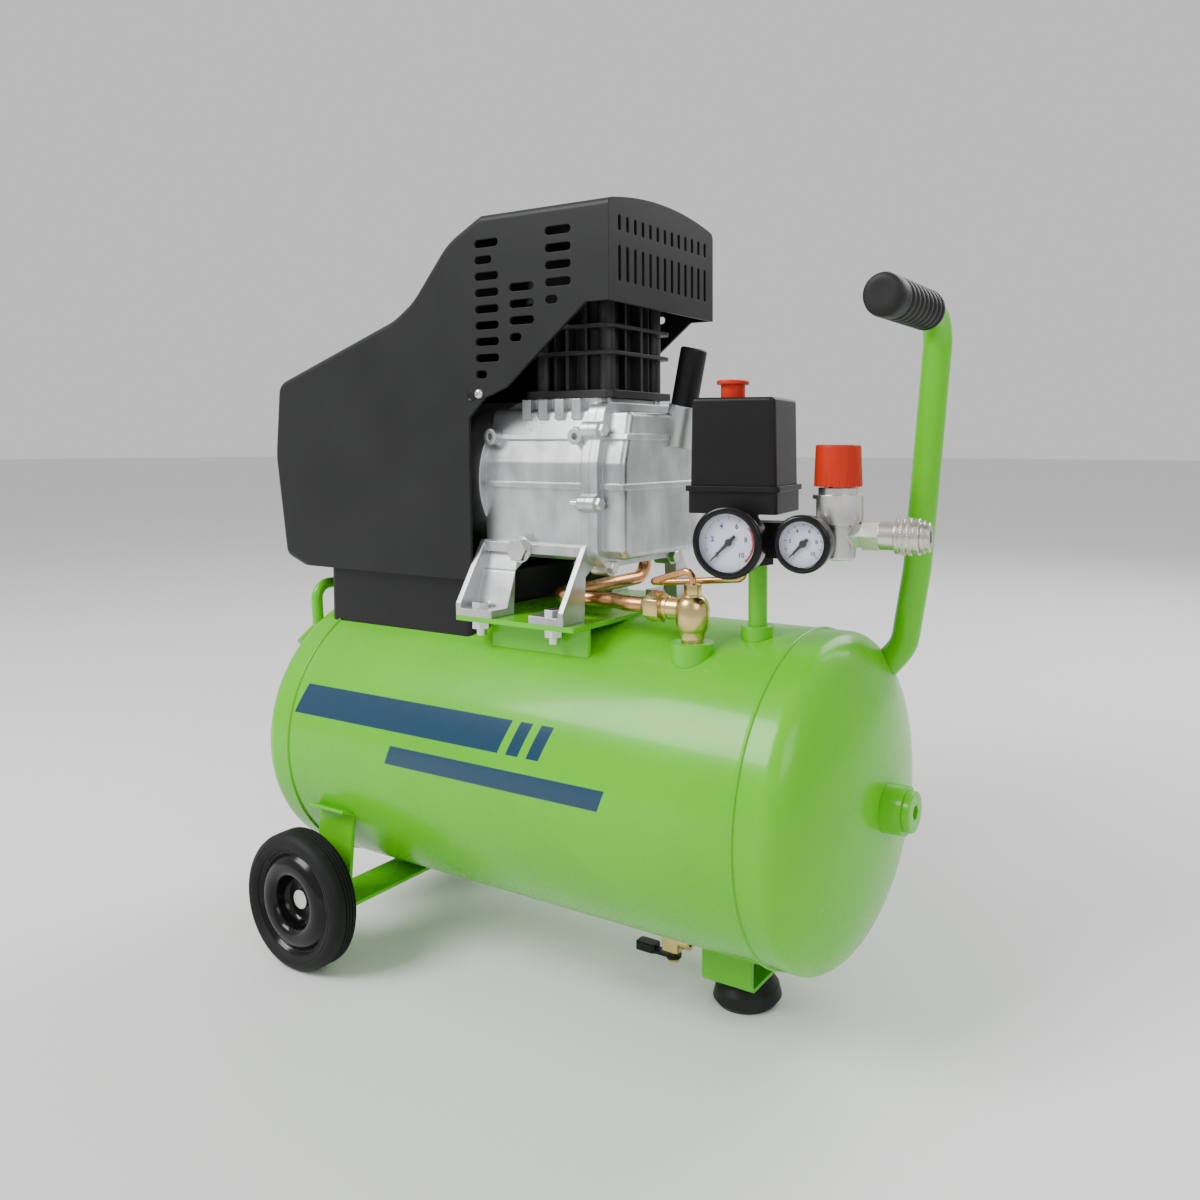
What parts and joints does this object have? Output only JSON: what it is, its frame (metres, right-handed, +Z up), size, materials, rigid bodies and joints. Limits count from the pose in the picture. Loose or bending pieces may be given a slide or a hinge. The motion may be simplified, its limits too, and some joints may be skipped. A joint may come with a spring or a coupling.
{
  "type": "portable air compressor",
  "caption": "Portable direct-drive piston air compressor on a green air tank with a black hood, wheels, handle, pressure switch, gauges, regulator and outlet coupler.",
  "frame": {"origin": "on the floor, below the centre of the whole machine's bounding box", "axes": "+X along the tank towards the gauges and the handle, +Y away from the gauge side, +Z up"},
  "size_m": [0.6173, 0.31, 0.632],
  "materials": {
    "green_paint": "gloss",
    "hood_plastic": "satin",
    "black_plastic": "satin",
    "gloss_black": "gloss",
    "tyre_rubber": "matte",
    "foot_rubber": "matte",
    "grip_rubber": "matte",
    "zinc_steel": "satin",
    "steel": "satin",
    "cast_aluminium": "cast",
    "machined_aluminium": "satin",
    "iron": "cast",
    "black_iron": "cast",
    "brass": "satin",
    "copper": "satin",
    "chrome": "polished",
    "red_plastic": "gloss",
    "dial_white": "satin",
    "clear_lens": "clear",
    "stator_steel": "satin"
  },
  "bodies": {
    "frame": {"tank_shell": "green_paint", "tank_bosses": "green_paint", "tank_end_plug": "green_paint", "saddle_bracket": "green_paint", "wheel_bracket": "green_paint", "foot_bracket": "green_paint", "rubber_foot": "foot_rubber", "handle_tube": "green_paint", "handle_grip": "grip_rubber", "rear_loop": "green_paint", "mounting_bolts": "zinc_steel", "axle_bolts": "zinc_steel", "drain_valve": "brass", "hood": "hood_plastic", "casing_screws": "zinc_steel", "air_duct": "black_plastic", "crankcase": "cast_aluminium", "crankcase_cover": "cast_aluminium", "oil_plug": "zinc_steel", "cylinder": "black_iron", "valve_plate": "steel", "cylinder_head": "black_iron", "head_bolts": "zinc_steel", "intake_filter": "black_plastic", "stator": "stator_steel", "motor_end_cap": "cast_aluminium", "bearings": "steel", "discharge_tube": "copper", "check_valve": "brass", "unloader_tube": "copper", "riser_pipe": "green_paint", "manifold": "black_plastic", "switch_base": "black_plastic", "switch_cover": "black_plastic", "cable_gland": "black_plastic", "gauge_cases": "gloss_black", "gauge_dials": "dial_white", "gauge_lenses": "clear_lens", "regulator_body": "machined_aluminium", "coupler_body": "chrome", "safety_valve": "brass"},
    "front_wheel": {"front_tyre": "tyre_rubber", "front_hub": "gloss_black"},
    "rear_wheel": {"rear_tyre": "tyre_rubber", "rear_hub": "gloss_black"},
    "drain_lever": {"drain_lever": "black_plastic"},
    "breather": {"breather": "black_plastic"},
    "crank": {"crankshaft": "steel", "rotor": "stator_steel", "cooling_fan": "black_plastic"},
    "piston": {"piston": "machined_aluminium", "piston_rings": "iron", "piston_pin": "steel", "connecting_rod": "machined_aluminium"},
    "switch_knob": {"switch_knob": "red_plastic"},
    "tank_needle": {"tank_needle": "gloss_black"},
    "outlet_needle": {"outlet_needle": "gloss_black"},
    "regulator_knob": {"regulator_knob": "red_plastic"},
    "coupler_sleeve": {"coupler_sleeve": "chrome"},
    "safety_ring": {"safety_ring": "zinc_steel"}
  },
  "joints": [
    {"name": "front_wheel_spin", "type": "hinge", "parent": "frame", "child": "front_wheel", "pos_m": [-0.194, -0.1425, 0.058], "axis": [0, 1, 0], "continuous": true},
    {"name": "rear_wheel_spin", "type": "hinge", "parent": "frame", "child": "rear_wheel", "pos_m": [-0.194, 0.1425, 0.058], "axis": [0, 1, 0], "continuous": true},
    {"name": "drain_lever_turn", "type": "hinge", "parent": "frame", "child": "drain_lever", "pos_m": [0.087, 0, 0.0163], "axis": [0, 0, 1], "range_deg": [0, 90]},
    {"name": "breather_pull", "type": "slide", "parent": "frame", "child": "breather", "axis": [0.2079, 0, 0.9781], "range_m": [0, 0.02]},
    {"name": "crank_spin", "type": "hinge", "parent": "frame", "child": "crank", "pos_m": [0, 0, 0.412], "axis": [1, 0, 0], "continuous": true},
    {"name": "piston_slide", "type": "slide", "parent": "frame", "child": "piston", "axis": [0, 0, 1], "range_m": [0, 0.038]},
    {"name": "switch_knob_press", "type": "slide", "parent": "frame", "child": "switch_knob", "axis": [0, 0, 1], "range_m": [-0.006, 0]},
    {"name": "tank_needle_swing", "type": "hinge", "parent": "frame", "child": "tank_needle", "pos_m": [0.17975, -0.06955, 0.372], "axis": [-0.1736, 0.9848, 0], "range_deg": [0, 270], "stiffness_Nm_per_rad": 0.0002},
    {"name": "outlet_needle_swing", "type": "hinge", "parent": "frame", "child": "outlet_needle", "pos_m": [0.22957, -0.05264, 0.372], "axis": [-0.1736, 0.9848, 0], "range_deg": [0, 270], "stiffness_Nm_per_rad": 0.0002},
    {"name": "regulator_knob_turn", "type": "hinge", "parent": "frame", "child": "regulator_knob", "pos_m": [0.23907, -0.01441, 0.425], "axis": [0, 0, 1], "range_deg": [-360, 360]},
    {"name": "coupler_sleeve_slide", "type": "slide", "parent": "frame", "child": "coupler_sleeve", "axis": [-0.9848, -0.1736, 0], "range_m": [0, 0.006], "stiffness_N_per_m": 1500},
    {"name": "safety_ring_pull", "type": "slide", "parent": "frame", "child": "safety_ring", "axis": [-0.1736, 0.9848, 0], "range_m": [0, 0.004], "stiffness_N_per_m": 2000}
  ]
}
